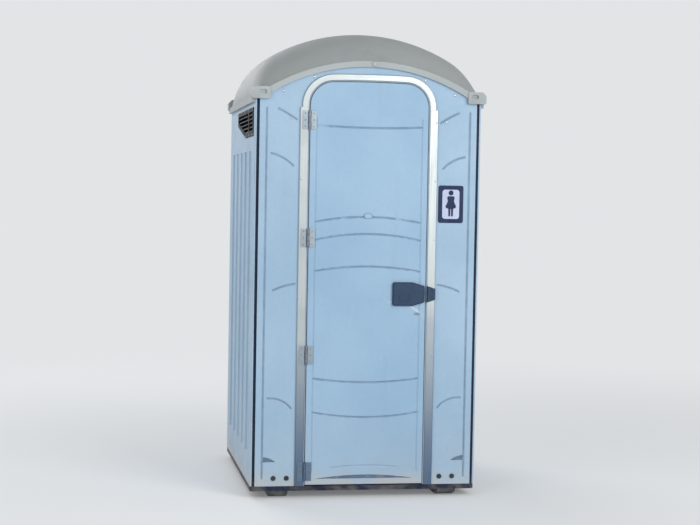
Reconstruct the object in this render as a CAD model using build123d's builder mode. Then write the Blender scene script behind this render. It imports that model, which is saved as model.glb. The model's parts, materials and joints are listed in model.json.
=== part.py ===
"""Portable toilet cabin: moulded walls, a domed roof and one hinged door.

Millimetres. +Z is up, the door faces -Y and +X is to the right of someone who
faces the door. The origin is on the ground, under the middle of the cabin.
"""
from build123d import *
import math
import os

os.makedirs("parts", exist_ok=True)

# Cabin envelope
cabin_width = 1120
cabin_depth = 1220
eaves_height = 1950
front_arch_rise = 184
seat_clearance = 0.3

# Skids and base
skid_width = 90
skid_height = 36
skid_inset = 95
skid_bevel_run = 60
skid_bevel_rise = 24
base_height = 24
base_skin = 8
base_corner = 20
base_rib = 8
base_rib_count = 5
deck_thickness = 12

# Walls and posts
front_sheet = 10
side_sheet = 8
post_size = 40
post_wall = 3
post_reveal = 14
side_sheet_setback = 4
side_edge_radius = 5
wall_rib_height = 7
wall_rib_width = 46
wall_rib_draft = 30
side_rib_count = 5
back_rib_count = 5
wall_rib_margin = 150

# Creases of the front panels, by the inner end, the middle and the outer end of each:
# the inner one's distance from the surround, the outer two's from the panel's edge,
# and how far all of them are below the eaves
bowed_creases = (
    ((25, 103), (138, 76), (91, 53)),
    ((40, 327), (106, 284), (58, 268)),
    ((25, 900), (128, 912), (75, 933)),
    ((34, 1509), (100, 1463), (55, 1460)),
)
upright_crease_inset = 34
upright_crease_high = 50
upright_crease_low = 37

# Wedge pockets low on the front panels, outside the bolts
pocket_outer_inset = 38
pocket_length = 62
pocket_level = 118
pocket_rise = 25
pocket_depth = 5

# Doorway and its aluminium surround
surround_half_width = 332
surround_drop = 60
surround_crown = 8
surround_corner = 155
bead_width = 32
bead_proud = 10
bead_edge = 3
surround_back = 36
surround_wall = 3
strip_overlap = 10
strip_shoulder = 166
stop_reach = 16
stop_thickness = 4
threshold_height = 24
header_overlap = 102

# Door leaf
leaf_side_gap = 7
leaf_top_gap = 6
leaf_bottom_gap = 6
leaf_thickness = 36
leaf_edge_radius = 4
groove_radius = 8
groove_depth = 3.5
groove_end_ease = 0.2
margin_groove_depth = 2
leaf_margin = 31
margin_groove_stop = 62
emblem_width = 42
emblem_tall = 26
emblem_proud = 2
emblem_drop = 651

# Pressed arcs of the door, by the levels of their ends and middle: the upper ones are
# measured down from the leaf's top and the lower ones up from its bottom
upper_arcs = ((214, 222), (682, 656), (770, 739), (922, 898))
lower_arcs = ((522, 503), (356, 331))
kick_arc = (83, 93)
kick_half_span = 165
crescent_level = 29
crescent_rise = 19
crescent_half_span = 243
crescent_depth = 5

# Hinges
hinge_count = 4
hinge_end_margin = 66
hinge_top_margin = 190
hinge_height = 90
hinge_leaf_width = 27
hinge_leaf_thickness = 3
hinge_barrel_radius = 6
hinge_pin_radius = 3
hinge_bore_clearance = 0.1
hinge_face_gap = 0.5
knuckle_gap = 1

# Latch
latch_height = 1005
latch_edge_margin = 6
latch_width = 160
latch_tall = 116
latch_proud = 18
latch_corner = 10
latch_chamfer = 6
latch_taper = 60
strike_tall = 80
strike_tip_tall = 54
strike_proud = 14
strike_edge_gap = 1
strike_bolt_radius = 6
strike_bolt_proud = 4
strike_bolt_pitch = 34
strike_bolt_inset = 12
inner_housing_width = 120
inner_housing_tall = 90
inner_housing_deep = 24
knob_radius = 17
knob_length = 26
knob_chamfer = 4

# Roof
roof_skin = 5
roof_overhang = 5
roof_mid_sagitta = 200
roof_side_height = 150
roof_end_power = 5
roof_shoulder_power = 16
roof_section_spans = 12
roof_stations = (-1, -0.92, -0.8, -0.6, -0.3, 0, 0.3, 0.6, 0.8, 0.92, 1)
lip_height = 28
lip_bead = 4
lip_proud = 14
lip_end_overlap = 5
rim_proud = 15
rim_end_inset = 10
rim_drop = 24
rim_rise = 6
lug_width = 90
lug_proud = 20
lug_drop = 6
lug_rise = 52
lug_shoulder = 18
lug_corner = 7
lug_length = 70
lug_slot_width = 34
lug_slot_tall = 20
lug_slot_depth = 8
lug_slot_inset = 36
lug_slot_rise = 28

# Side vents
vent_front_margin = 66
vent_length = 710
vent_drop = 55
vent_tall = 120
vent_cut_run = 370
vent_cut_rise = 70
vent_flange = 10
vent_flange_proud = 4
vent_mullion_reach = 200
vent_mullion = 30
vent_slat_count = 5
vent_slat_thickness = 2.5
vent_slat_width = 24
vent_slat_angle = 40

# Base bolts
bolt_radius = 12
bolt_proud = 6
bolt_edge = 2.5
bolt_level = 39
bolt_first_offset = 50
bolt_pair_pitch = 65

# Levels and faces that follow from the sizes above
half_width = cabin_width / 2
half_depth = cabin_depth / 2
base_top = skid_height + base_height
post_outer_x = half_width - side_sheet
post_outer_y = half_depth - front_sheet
sheet_half_width = post_outer_x - post_reveal
side_sheet_length = cabin_depth - 2 * side_sheet_setback
roof_half_width = half_width + roof_overhang
surround_top = eaves_height + front_arch_rise - surround_drop
strip_top = surround_top - strip_shoulder
opening_half_width = surround_half_width - bead_width
strip_half_width = surround_half_width + strip_overlap
header_half_width = surround_half_width - header_overlap
bead_face = half_depth + bead_proud
surround_rear = half_depth - surround_back
leaf_half_width = opening_half_width - leaf_side_gap
leaf_top = surround_top - bead_width - leaf_top_gap
leaf_bottom = base_top + leaf_bottom_gap
leaf_corner = surround_corner - bead_width - leaf_side_gap
leaf_rear = bead_face - leaf_thickness
margin_x = leaf_half_width - leaf_margin
hinge_x = -(opening_half_width - leaf_side_gap / 2)
hinge_y = bead_face + hinge_face_gap + hinge_barrel_radius
latch_right = leaf_half_width - latch_edge_margin
latch_centre_x = latch_right - latch_width / 2
vent_front_y = vent_front_margin - side_sheet_length / 2
vent_rear_y = vent_front_y + vent_length
vent_high = eaves_height - vent_drop
vent_low = vent_high - vent_tall


def front_plane(depth):
    """Plane facing the door's side, at a distance in front of the cabin's middle."""
    return Plane.XZ.offset(depth)


def save(piece, name):
    """Label a finished piece and write it to its own file."""
    piece.part.label = name
    export_step(piece.part, "parts/" + name + ".step")


def arch_outline(half, top, corner, bottom):
    """Face of a doorway: straight sides, rounded shoulders and a slightly crowned top."""
    with BuildSketch() as outline:
        with BuildLine():
            Line((-half, bottom), (-half, top - surround_crown))
            ThreePointArc((-half, top - surround_crown), (0, top), (half, top - surround_crown))
            Line((half, top - surround_crown), (half, bottom))
            Line((half, bottom), (-half, bottom))
        make_face()
        fillet(outline.vertices().group_by(Axis.Y)[-1], corner)
    return outline.sketch


def surround_outline(inset):
    """The doorway outline, drawn inside the outer edge of its aluminium surround."""
    return arch_outline(
        surround_half_width - inset, surround_top - inset, surround_corner - inset, base_top
    )


def roof_arc_points(inset, half):
    """Ends and middle of an arc that follows the roof's end edge, a set distance inside it."""
    radius = (roof_half_width ** 2 + front_arch_rise ** 2) / (2 * front_arch_rise)
    centre = eaves_height + front_arch_rise - radius
    side_z = centre + math.sqrt((radius - inset) ** 2 - half ** 2)
    return (-half, side_z), (0, centre + radius - inset), (half, side_z)


def gable_outline(half):
    """End wall face from the base up to the underside of the arched roof edge."""
    left, middle, right = roof_arc_points(roof_skin + seat_clearance, half)
    with BuildSketch() as outline:
        with BuildLine():
            Line((-half, base_top), left)
            ThreePointArc(left, middle, right)
            Line(right, (half, base_top))
            Line((half, base_top), (-half, base_top))
        make_face()
    return outline.sketch


def vent_outline(sign, grow):
    """Face of a side vent: its lower corner away from the door is cut off at a slant."""
    with BuildSketch() as outline:
        with BuildLine():
            Polyline(
                (sign * vent_front_y, vent_low),
                (sign * vent_front_y, vent_high),
                (sign * vent_rear_y, vent_high),
                (sign * vent_rear_y, vent_low + vent_cut_rise),
                (sign * (vent_rear_y - vent_cut_run), vent_low),
                close=True,
            )
        make_face()
        offset(amount=grow, kind=Kind.INTERSECTION)
    return outline.sketch


def roof_section_points(along, inset):
    """Points across the roof at a share of the way from its middle to one end.

    The ends are plain arcs. Towards the middle the sides stand up and the arc rides on them.
    """
    fade = 1 - abs(along) ** roof_end_power
    side = roof_side_height * fade
    sagitta = front_arch_rise + (roof_mid_sagitta - front_arch_rise) * fade - inset
    half = roof_half_width - inset
    radius = (half ** 2 + sagitta ** 2) / (2 * sagitta)
    points = []
    for span in range(roof_section_spans + 1):
        across = math.sin(math.pi * (span / roof_section_spans - 0.5))
        shoulder = math.sqrt(max(0, 1 - abs(across) ** roof_shoulder_power))
        arc = math.sqrt(radius ** 2 - (half * across) ** 2) - (radius - sagitta)
        points.append((half * across, eaves_height + side * shoulder + arc))
    return points


def cut_groove(points, face, depth=groove_depth):
    """Cut a round-bottomed groove, with rounded ends, along an arc or a line on a front face."""
    with BuildLine(front_plane(face + groove_radius - depth)) as route:
        if len(points) == 3:
            ThreePointArc(*points)
        else:
            Line(*points)
    with BuildSketch(Plane(origin=route.line @ 0, z_dir=route.line % 0)) as cutter:
        Circle(groove_radius)
    sweep(sections=cutter.sketch, path=route.line, mode=Mode.SUBTRACT)
    with Locations(route.line @ 0, route.line @ 1):
        Sphere(groove_radius - groove_end_ease, mode=Mode.SUBTRACT)


# Skids: two runners along the depth, bevelled at both ends for dragging
skid_start = {"left": -half_width + skid_inset, "right": half_width - skid_inset - skid_width}
for side, start_x in skid_start.items():
    with BuildPart() as skid:
        with BuildSketch(Plane.YZ.offset(start_x)):
            with BuildLine():
                Polyline(
                    (-half_depth, skid_height),
                    (-half_depth, skid_bevel_rise),
                    (skid_bevel_run - half_depth, 0),
                    (half_depth - skid_bevel_run, 0),
                    (half_depth, skid_bevel_rise),
                    (half_depth, skid_height),
                    close=True,
                )
            make_face()
        extrude(amount=skid_width)
    save(skid, "skid_" + side)

# Base pan: one moulded tray with a skirt and stiffening ribs below its top skin
with BuildPart() as base_pan:
    with BuildSketch(Plane.XY.offset(skid_height)):
        RectangleRounded(cabin_width, cabin_depth, base_corner)
    extrude(amount=base_height)
    with BuildSketch(Plane.XY.offset(skid_height)):
        RectangleRounded(
            cabin_width - 2 * base_skin, cabin_depth - 2 * base_skin, base_corner - base_skin
        )
    extrude(amount=base_height - base_skin, mode=Mode.SUBTRACT)
    with BuildSketch(Plane.XY.offset(skid_height)):
        with GridLocations(cabin_width / (base_rib_count + 1), 0, base_rib_count, 1):
            Rectangle(base_rib, cabin_depth - base_skin)
        with GridLocations(0, cabin_depth / (base_rib_count + 1), 1, base_rib_count):
            Rectangle(cabin_width - base_skin, base_rib)
    extrude(amount=base_height - base_skin)
save(base_pan, "base_pan")

# Floor deck: fills the cabin between its walls, notched at the posts and the doorway
with BuildPart() as floor_deck:
    with BuildSketch(Plane.XY.offset(base_top)):
        Rectangle(2 * post_outer_x, 2 * post_outer_y)
        with GridLocations(2 * post_outer_x - post_size, 2 * post_outer_y - post_size, 2, 2):
            Rectangle(post_size, post_size, mode=Mode.SUBTRACT)
        with Locations((0, -surround_rear)):
            Rectangle(
                2 * strip_half_width, 2 * post_outer_y,
                align=(Align.CENTER, Align.MAX), mode=Mode.SUBTRACT,
            )
    extrude(amount=deck_thickness)
save(floor_deck, "floor_deck")

# Corner posts: hollow square tubes that show as a recessed strip beside each end wall
for end, end_sign in (("front", -1), ("back", 1)):
    for side, side_sign in (("left", -1), ("right", 1)):
        post_x = side_sign * (post_outer_x - post_size / 2)
        post_y = end_sign * (post_outer_y - post_size / 2)
        with BuildPart() as corner_post:
            with BuildSketch(Plane((post_x, post_y, base_top))):
                RectangleRounded(post_size, post_size, post_wall)
                Rectangle(
                    post_size - 2 * post_wall, post_size - 2 * post_wall, mode=Mode.SUBTRACT
                )
            extrude(amount=eaves_height - base_top)
        save(corner_post, "corner_post_" + end + "_" + side)

# Front panels: beside the doorway, with the moulded creases that stiffen them
for side, sign in (("left", -1), ("right", 1)):
    with BuildPart() as front_panel:
        with BuildSketch(front_plane(post_outer_y)):
            add(gable_outline(sheet_half_width))
            add(surround_outline(-seat_clearance), mode=Mode.SUBTRACT)
            Rectangle(
                2 * header_half_width, 2 * eaves_height,
                align=(Align.CENTER, Align.MIN), mode=Mode.SUBTRACT,
            )
            Rectangle(
                cabin_width, 3 * eaves_height,
                align=(Align.MIN if sign < 0 else Align.MAX, Align.CENTER),
                mode=Mode.SUBTRACT,
            )
        extrude(amount=front_sheet)
        for inner, bow, outer in bowed_creases:
            inner_end = (sign * (surround_half_width + inner[0]), eaves_height - inner[1])
            bow_point = (sign * (sheet_half_width - bow[0]), eaves_height - bow[1])
            outer_end = (sign * (sheet_half_width - outer[0]), eaves_height - outer[1])
            cut_groove((inner_end, bow_point, outer_end), half_depth)
        upright_x = sign * (sheet_half_width - upright_crease_inset)
        upright_low = (upright_x, base_top + upright_crease_low)
        upright_high = (upright_x, eaves_height - upright_crease_high)
        cut_groove((upright_low, upright_high), half_depth)
        pocket_outer = sign * (sheet_half_width - pocket_outer_inset)
        pocket_inner = sign * (sheet_half_width - pocket_outer_inset - pocket_length)
        pocket_low = base_top + pocket_level
        with BuildSketch(front_plane(half_depth)):
            with BuildLine():
                ThreePointArc(
                    (pocket_inner, pocket_low),
                    ((pocket_inner + pocket_outer) / 2, pocket_low + 0.75 * pocket_rise),
                    (pocket_outer, pocket_low + pocket_rise),
                )
                Line((pocket_outer, pocket_low + pocket_rise), (pocket_outer, pocket_low))
                Line((pocket_outer, pocket_low), (pocket_inner, pocket_low))
            make_face()
        extrude(amount=-pocket_depth, mode=Mode.SUBTRACT)
    save(front_panel, "front_panel_" + side)

# Front header: closes the gable over the door arch
with BuildPart() as front_header:
    with BuildSketch(front_plane(post_outer_y)):
        add(gable_outline(header_half_width))
        add(surround_outline(-seat_clearance), mode=Mode.SUBTRACT)
    extrude(amount=front_sheet)
save(front_header, "front_header")

# Back wall: one arched sheet with upright stiffening ribs
back_rib_bottom = base_top + wall_rib_margin
back_rib_top = eaves_height - wall_rib_margin
with BuildPart() as back_wall:
    with BuildSketch(front_plane(-half_depth)):
        add(gable_outline(sheet_half_width))
    extrude(amount=front_sheet)
    with BuildSketch(front_plane(-half_depth)):
        with Locations((0, (back_rib_bottom + back_rib_top) / 2)):
            with GridLocations(2 * sheet_half_width / (back_rib_count + 1), 0, back_rib_count, 1):
                SlotOverall(back_rib_top - back_rib_bottom, wall_rib_width, rotation=90)
    extrude(amount=-wall_rib_height, taper=wall_rib_draft)
save(back_wall, "back_wall")

# Side walls and their vents: ribbed sheets with a louvred frame set in under the eaves
side_rib_bottom = base_top + wall_rib_margin
side_rib_top = vent_low - wall_rib_margin / 2
slat_pitch = (vent_tall - 2 * vent_flange) / vent_slat_count
slat_tilt = math.radians(vent_slat_angle)
mullion_y = vent_front_y + vent_mullion_reach
for side, sign in (("left", -1), ("right", 1)):
    outward = Plane(
        origin=(sign * post_outer_x, 0, 0), x_dir=(0, sign, 0), z_dir=(sign, 0, 0)
    )
    with BuildPart() as side_wall:
        with BuildSketch(outward):
            with Locations((0, (base_top + eaves_height) / 2)):
                Rectangle(side_sheet_length, eaves_height - base_top)
            add(vent_outline(sign, 0), mode=Mode.SUBTRACT)
        extrude(amount=side_sheet)
        outer_face = side_wall.faces().sort_by(Axis.X)[-1 if sign > 0 else 0]
        upright_edges = outer_face.edges().filter_by(Axis.Z).group_by(Axis.Y)
        fillet(upright_edges[0] + upright_edges[-1], side_edge_radius)
        with BuildSketch(outward.offset(side_sheet)):
            with Locations((0, (side_rib_bottom + side_rib_top) / 2)):
                with GridLocations(side_sheet_length / (side_rib_count + 1), 0, side_rib_count, 1):
                    SlotOverall(side_rib_top - side_rib_bottom, wall_rib_width, rotation=90)
        extrude(amount=wall_rib_height, taper=wall_rib_draft)
    save(side_wall, "side_wall_" + side)

    with BuildPart() as slats:
        for slat in range(vent_slat_count):
            slat_z = vent_low + vent_flange + slat_pitch * (slat + 0.5)
            slat_plane = Plane(
                origin=(sign * (half_width - side_sheet / 2), vent_front_y, slat_z),
                x_dir=(0, 1, 0),
                z_dir=(sign * math.sin(slat_tilt), 0, math.cos(slat_tilt)),
            )
            with BuildSketch(slat_plane):
                Rectangle(vent_length, vent_slat_width, align=(Align.MIN, Align.CENTER))
            extrude(amount=vent_slat_thickness / 2, both=True)
        with BuildSketch(outward):
            add(vent_outline(sign, -vent_flange / 2))
        extrude(amount=vent_slat_width, both=True, mode=Mode.INTERSECT)

    with BuildPart() as vent:
        with BuildSketch(outward):
            add(vent_outline(sign, -seat_clearance))
            add(vent_outline(sign, -vent_flange), mode=Mode.SUBTRACT)
        extrude(amount=side_sheet)
        with BuildSketch(outward.offset(side_sheet)):
            add(vent_outline(sign, vent_flange))
            add(vent_outline(sign, -vent_flange), mode=Mode.SUBTRACT)
        extrude(amount=vent_flange_proud)
        with BuildSketch(outward):
            with Locations((sign * mullion_y, (vent_low + vent_high) / 2)):
                Rectangle(vent_mullion, vent_tall - vent_flange)
        extrude(amount=side_sheet + vent_flange_proud)
        add(slats.part)
    save(vent, "vent_" + side)

# Door surround strips: hollow aluminium uprights with a stop lip behind the leaf
stop_half_width = opening_half_width - stop_reach
for side, sign in (("left", -1), ("right", 1)):
    with BuildPart() as trim_strip:
        with BuildSketch(Plane.XY.offset(base_top)):
            with BuildLine():
                Polyline(
                    (sign * opening_half_width, -bead_face),
                    (sign * strip_half_width, -bead_face),
                    (sign * strip_half_width, -half_depth),
                    (sign * surround_half_width, -half_depth),
                    (sign * surround_half_width, -surround_rear),
                    (sign * stop_half_width, -surround_rear),
                    (sign * stop_half_width, -surround_rear - stop_thickness),
                    (sign * opening_half_width, -surround_rear - stop_thickness),
                    close=True,
                )
            make_face()
            with Locations(
                (sign * (opening_half_width + bead_width / 2), -(bead_face + surround_rear) / 2)
            ):
                Rectangle(
                    bead_width - 2 * surround_wall,
                    bead_face - surround_rear - 2 * surround_wall,
                    mode=Mode.SUBTRACT,
                )
        extrude(amount=strip_top - base_top)
        chamfer(trim_strip.edges().filter_by(Axis.Z).group_by(Axis.Y)[0], bead_edge)
    save(trim_strip, "trim_" + side)

# Door surround arch: the same section bent round the shoulders and over the door
with BuildPart() as trim_arch:
    with BuildSketch(front_plane(surround_rear)):
        add(surround_outline(0))
        add(surround_outline(bead_width), mode=Mode.SUBTRACT)
        Rectangle(cabin_width, 2 * strip_top, mode=Mode.SUBTRACT)
    extrude(amount=bead_face - surround_rear)
    bead_front_edges = trim_arch.faces().sort_by(Axis.Y)[0].edges()
    chamfer(bead_front_edges.filter_by(lambda edge: edge.center().Z > strip_top + 1), bead_edge)
    with BuildSketch(front_plane(surround_rear)):
        add(surround_outline(bead_width))
        add(surround_outline(bead_width + stop_reach), mode=Mode.SUBTRACT)
        Rectangle(cabin_width, 2 * strip_top, mode=Mode.SUBTRACT)
    extrude(amount=stop_thickness)
save(trim_arch, "trim_arch")

# Threshold: the bottom of the door stop, at the front edge of the floor
with BuildPart() as threshold:
    with BuildSketch(Plane.XY.offset(base_top)):
        with Locations((0, -surround_rear - stop_thickness / 2)):
            Rectangle(2 * stop_half_width, stop_thickness)
    extrude(amount=threshold_height)
save(threshold, "threshold")

# Door leaf: a thick moulded slab with pressed arcs, margin lines, a crescent pocket low
# down and a plain oval boss
with BuildPart() as door_leaf:
    with BuildSketch(front_plane(leaf_rear)):
        add(arch_outline(leaf_half_width, leaf_top, leaf_corner, leaf_bottom))
    extrude(amount=leaf_thickness)
    fillet(door_leaf.faces().sort_by(Axis.Y)[0].edges(), leaf_edge_radius)
    for ends, middle in upper_arcs:
        cut_groove(
            ((-margin_x, leaf_top - ends), (0, leaf_top - middle), (margin_x, leaf_top - ends)),
            bead_face,
        )
    for ends, middle in lower_arcs:
        cut_groove(
            (
                (-margin_x, leaf_bottom + ends),
                (0, leaf_bottom + middle),
                (margin_x, leaf_bottom + ends),
            ),
            bead_face,
        )
    kick_ends, kick_middle = kick_arc
    cut_groove(
        (
            (-kick_half_span, leaf_bottom + kick_ends),
            (0, leaf_bottom + kick_middle),
            (kick_half_span, leaf_bottom + kick_ends),
        ),
        bead_face, margin_groove_depth,
    )
    for sign in (-1, 1):
        cut_groove(
            (
                (sign * margin_x, leaf_bottom + margin_groove_stop),
                (sign * margin_x, leaf_top - leaf_corner - margin_groove_stop),
            ),
            bead_face, margin_groove_depth,
        )
    crescent_low = leaf_bottom + crescent_level
    with BuildSketch(front_plane(bead_face)):
        with BuildLine():
            ThreePointArc(
                (-crescent_half_span, crescent_low),
                (0, crescent_low + crescent_rise),
                (crescent_half_span, crescent_low),
            )
            Line((crescent_half_span, crescent_low), (-crescent_half_span, crescent_low))
        make_face()
    extrude(amount=-crescent_depth, mode=Mode.SUBTRACT)
    with BuildSketch(front_plane(bead_face)):
        with Locations((0, leaf_top - emblem_drop)):
            Ellipse(emblem_width / 2, emblem_tall / 2)
    extrude(amount=emblem_proud)
save(door_leaf, "door_leaf")

# Hinges: the frame half carries the pin, the door half turns on it
hinge_low = leaf_bottom + hinge_end_margin
hinge_pitch = (leaf_top - hinge_top_margin - hinge_low) / (hinge_count - 1)
middle_half = hinge_height / 6
end_start = middle_half + knuckle_gap
tab_reach = hinge_barrel_radius + knuckle_gap
for number in range(hinge_count):
    hinge_z = hinge_low + number * hinge_pitch
    with BuildPart() as frame_hinge:
        with BuildSketch(front_plane(bead_face)):
            with Locations((hinge_x - tab_reach, hinge_z)):
                Rectangle(hinge_leaf_width, hinge_height, align=(Align.MAX, Align.CENTER))
            with Locations((hinge_x, hinge_z)):
                Rectangle(tab_reach, hinge_height, align=(Align.MAX, Align.CENTER))
                Rectangle(2 * tab_reach, 2 * end_start, mode=Mode.SUBTRACT)
        extrude(amount=hinge_leaf_thickness)
        for low, high in ((-hinge_height / 2, -end_start), (end_start, hinge_height / 2)):
            with BuildSketch(Plane((hinge_x, -hinge_y, hinge_z + low))):
                Circle(hinge_barrel_radius)
            extrude(amount=high - low)
        with BuildSketch(Plane((hinge_x, -hinge_y, hinge_z - hinge_height / 2))):
            Circle(hinge_pin_radius)
        extrude(amount=hinge_height)
    save(frame_hinge, "hinge_frame_leaf_" + str(number + 1))

    with BuildPart() as door_hinge:
        with BuildSketch(front_plane(bead_face)):
            with Locations((hinge_x + tab_reach, hinge_z)):
                Rectangle(hinge_leaf_width, hinge_height, align=(Align.MIN, Align.CENTER))
            with Locations((hinge_x, hinge_z)):
                Rectangle(tab_reach, 2 * middle_half, align=(Align.MIN, Align.CENTER))
        extrude(amount=hinge_leaf_thickness)
        with BuildSketch(Plane((hinge_x, -hinge_y, hinge_z - middle_half))):
            Circle(hinge_barrel_radius)
        extrude(amount=2 * middle_half)
        with BuildSketch(Plane((hinge_x, -hinge_y, hinge_z - middle_half))):
            Circle(hinge_pin_radius + hinge_bore_clearance)
        extrude(amount=2 * middle_half, mode=Mode.SUBTRACT)
    save(door_hinge, "hinge_door_leaf_" + str(number + 1))

# Latch plate: raised housing on the outside of the door, tapered towards the strike
with BuildPart() as latch_plate:
    with BuildSketch(front_plane(bead_face)) as plate_face:
        with BuildLine():
            Polyline(
                (latch_right - latch_width, latch_height - latch_tall / 2),
                (latch_right - latch_taper, latch_height - latch_tall / 2),
                (latch_right, latch_height - strike_tall / 2),
                (latch_right, latch_height + strike_tall / 2),
                (latch_right - latch_taper, latch_height + latch_tall / 2),
                (latch_right - latch_width, latch_height + latch_tall / 2),
                close=True,
            )
        make_face()
        fillet(plate_face.vertices(), latch_corner)
    extrude(amount=latch_proud)
    chamfer(latch_plate.faces().sort_by(Axis.Y)[0].edges(), latch_chamfer)
save(latch_plate, "latch_plate")

# Strike plate: tapered plate on the right upright, held by two bolts
strike_inner = opening_half_width + strike_edge_gap
strike_outer = strip_half_width - strike_edge_gap
with BuildPart() as strike_plate:
    with BuildSketch(front_plane(bead_face)):
        with BuildLine():
            Polyline(
                (strike_inner, latch_height - strike_tall / 2),
                (strike_outer, latch_height - strike_tip_tall / 2),
                (strike_outer, latch_height + strike_tip_tall / 2),
                (strike_inner, latch_height + strike_tall / 2),
                close=True,
            )
        make_face()
    extrude(amount=strike_proud)
    chamfer(strike_plate.faces().sort_by(Axis.Y)[0].edges(), 2)
    with BuildSketch(front_plane(bead_face + strike_proud)):
        with Locations((strike_outer - strike_bolt_inset, latch_height)):
            with GridLocations(0, strike_bolt_pitch, 1, 2):
                Circle(strike_bolt_radius)
    extrude(amount=strike_bolt_proud)
save(strike_plate, "strike_plate")

# Inner latch: housing and turn knob on the inside of the door
with BuildPart() as latch_housing:
    with BuildSketch(front_plane(leaf_rear - inner_housing_deep)):
        with Locations((latch_centre_x, latch_height)):
            RectangleRounded(inner_housing_width, inner_housing_tall, latch_corner)
    extrude(amount=inner_housing_deep)
save(latch_housing, "latch_inner_housing")

with BuildPart() as latch_knob:
    with BuildSketch(front_plane(leaf_rear - inner_housing_deep - knob_length)):
        with Locations((latch_centre_x, latch_height)):
            Circle(knob_radius)
    extrude(amount=knob_length)
    chamfer(latch_knob.faces().sort_by(Axis.Y)[-1].edges(), knob_chamfer)
save(latch_knob, "latch_knob")

# Base bolts: bevelled heads that hold the front panels to the base
with BuildPart() as base_bolts:
    for sign in (-1, 1):
        for step in (0, 1):
            bolt_x = sign * (surround_half_width + bolt_first_offset + step * bolt_pair_pitch)
            with BuildSketch(front_plane(half_depth)):
                with Locations((bolt_x, base_top + bolt_level)):
                    Circle(bolt_radius)
            extrude(amount=bolt_proud)
    chamfer(base_bolts.faces().group_by(Axis.Y)[0].edges(), bolt_edge)
save(base_bolts, "front_base_bolts")

# Roof: lips, rims and lugs are cut back to the middle of the skin, and the moulded skin,
# lofted through sections, closes over the cut
with BuildPart() as roof_core:
    for along in roof_stations:
        with BuildSketch(front_plane(-along * half_depth)):
            with BuildLine():
                mid_skin = roof_section_points(along, roof_skin / 2)
                Spline(*mid_skin)
                Line(mid_skin[-1], mid_skin[0])
            make_face()
    loft()

lug_outer = half_width + lug_proud
lug_top = eaves_height + lug_rise
with BuildPart() as roof_fittings:
    for end_sign in (-1, 1):
        with BuildSketch(front_plane(end_sign * half_depth)):
            with BuildLine():
                outer = roof_arc_points(-lip_bead, roof_half_width + lip_end_overlap)
                inner = roof_arc_points(lip_height - lip_bead, roof_half_width + lip_end_overlap)
                ThreePointArc(*outer)
                Line(outer[2], inner[2])
                ThreePointArc(*reversed(inner))
                Line(inner[0], outer[0])
            make_face()
            Rectangle(2 * cabin_width, 2 * (eaves_height - lug_drop), mode=Mode.SUBTRACT)
        extrude(amount=end_sign * lip_proud)
    for side_sign in (-1, 1):
        with BuildSketch(front_plane(rim_end_inset - half_depth)):
            with Locations(
                (side_sign * (half_width + rim_proud / 2), eaves_height + (rim_rise - rim_drop) / 2)
            ):
                Rectangle(rim_proud, rim_rise + rim_drop)
        extrude(amount=cabin_depth - 2 * rim_end_inset)
        for end_sign in (-1, 1):
            with BuildSketch(front_plane(end_sign * (half_depth + lug_proud))) as lug:
                with BuildLine():
                    Polyline(
                        (side_sign * (lug_outer - lug_width), eaves_height - lug_drop),
                        (side_sign * lug_outer, eaves_height - lug_drop),
                        (side_sign * lug_outer, lug_top - lug_shoulder),
                        (side_sign * (lug_outer - lug_shoulder), lug_top),
                        (side_sign * (lug_outer - lug_width), lug_top),
                        close=True,
                    )
                make_face()
                fillet(lug.vertices(), lug_corner)
            extrude(amount=-end_sign * lug_length)
    add(roof_core.part, mode=Mode.SUBTRACT)
    with BuildSketch(Plane.XY.offset(base_top)):
        Rectangle(cabin_width, cabin_depth)
    extrude(amount=eaves_height - base_top, mode=Mode.SUBTRACT)
    for end_sign in (-1, 1):
        with BuildSketch(front_plane(end_sign * (half_depth + lug_proud))):
            with Locations((0, eaves_height + lug_slot_rise)):
                with GridLocations(2 * (half_width - lug_slot_inset), 0, 2, 1):
                    SlotOverall(lug_slot_width, lug_slot_tall)
        extrude(amount=-end_sign * lug_slot_depth, mode=Mode.SUBTRACT)

with BuildPart() as roof:
    for along in roof_stations:
        with BuildSketch(front_plane(-along * half_depth)):
            with BuildLine():
                over = roof_section_points(along, 0)
                under = roof_section_points(along, roof_skin)
                Spline(*over)
                Line(over[-1], under[-1])
                Spline(*reversed(under))
                Line(under[0], over[0])
            make_face()
    loft()
    add(roof_fittings.part)
save(roof, "roof")
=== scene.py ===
"""Looks of the portable toilet cabin: surfaces, sign, fasteners, light and camera.

Metres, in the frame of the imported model. The door faces -Y and +Z is up.
"""
import json
import math

import bpy
from mathutils import Matrix, Vector


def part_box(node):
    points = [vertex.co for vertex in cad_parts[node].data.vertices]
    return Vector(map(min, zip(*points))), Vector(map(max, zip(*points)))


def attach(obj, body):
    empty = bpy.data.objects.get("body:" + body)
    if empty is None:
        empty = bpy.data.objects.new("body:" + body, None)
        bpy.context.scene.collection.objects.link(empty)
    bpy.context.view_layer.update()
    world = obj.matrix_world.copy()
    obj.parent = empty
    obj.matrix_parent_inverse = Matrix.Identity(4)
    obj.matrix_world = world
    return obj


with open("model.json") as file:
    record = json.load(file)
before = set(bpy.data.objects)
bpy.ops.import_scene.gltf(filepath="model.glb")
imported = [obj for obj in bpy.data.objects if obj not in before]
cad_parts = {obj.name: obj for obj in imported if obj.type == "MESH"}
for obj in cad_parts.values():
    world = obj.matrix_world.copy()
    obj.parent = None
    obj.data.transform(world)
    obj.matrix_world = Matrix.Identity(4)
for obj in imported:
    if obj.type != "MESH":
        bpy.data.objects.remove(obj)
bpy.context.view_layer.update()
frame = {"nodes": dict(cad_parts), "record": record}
nodes = frame["nodes"]

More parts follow.
